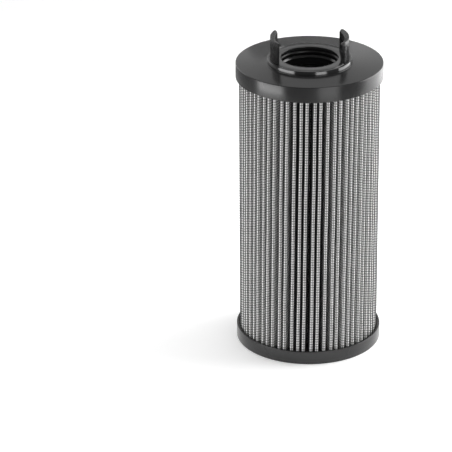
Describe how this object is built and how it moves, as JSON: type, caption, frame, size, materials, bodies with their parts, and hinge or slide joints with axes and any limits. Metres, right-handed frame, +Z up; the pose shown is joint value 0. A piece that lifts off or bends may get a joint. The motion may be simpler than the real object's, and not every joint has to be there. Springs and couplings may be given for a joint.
{
  "type": "hydraulic filter element",
  "caption": "Cylindrical pleated oil filter element with a wire-mesh faced pack, black end caps, an O-ring bore and snap hooks at its open end, closed at its foot.",
  "frame": {"origin": "centre of the standing face of the closed bottom cap", "axes": "+Z up along the element's axis towards its open end, and +X through the middle of one hook"},
  "size_m": [0.095, 0.095, 0.2108],
  "materials": {
    "cap_plastic": "moulded glass-filled plastic with a soft sheen",
    "seal_rubber": "smooth moulded rubber",
    "core_steel": "dull zinc-coated sheet",
    "outer_wire": "woven wire with a dark coat",
    "fleece": "fibrous non-woven",
    "glass_fibre": "soft glass-fibre felt",
    "inner_wire": "woven wire with a dark coat",
    "seam_glue": "cured adhesive",
    "potting_glue": "cured casting resin"
  },
  "bodies": {
    "root": {"top_end_cap": "cap_plastic", "bore_o_ring": "seal_rubber", "bottom_end_cap": "cap_plastic", "core_tube": "core_steel", "outer_mesh": "outer_wire", "outer_fleece": "fleece", "prefilter_media": "glass_fibre", "fine_media": "glass_fibre", "inner_fleece": "fleece", "inner_mesh": "inner_wire", "side_seam": "seam_glue", "top_potting": "potting_glue", "bottom_potting": "potting_glue"}
  },
  "joints": []
}
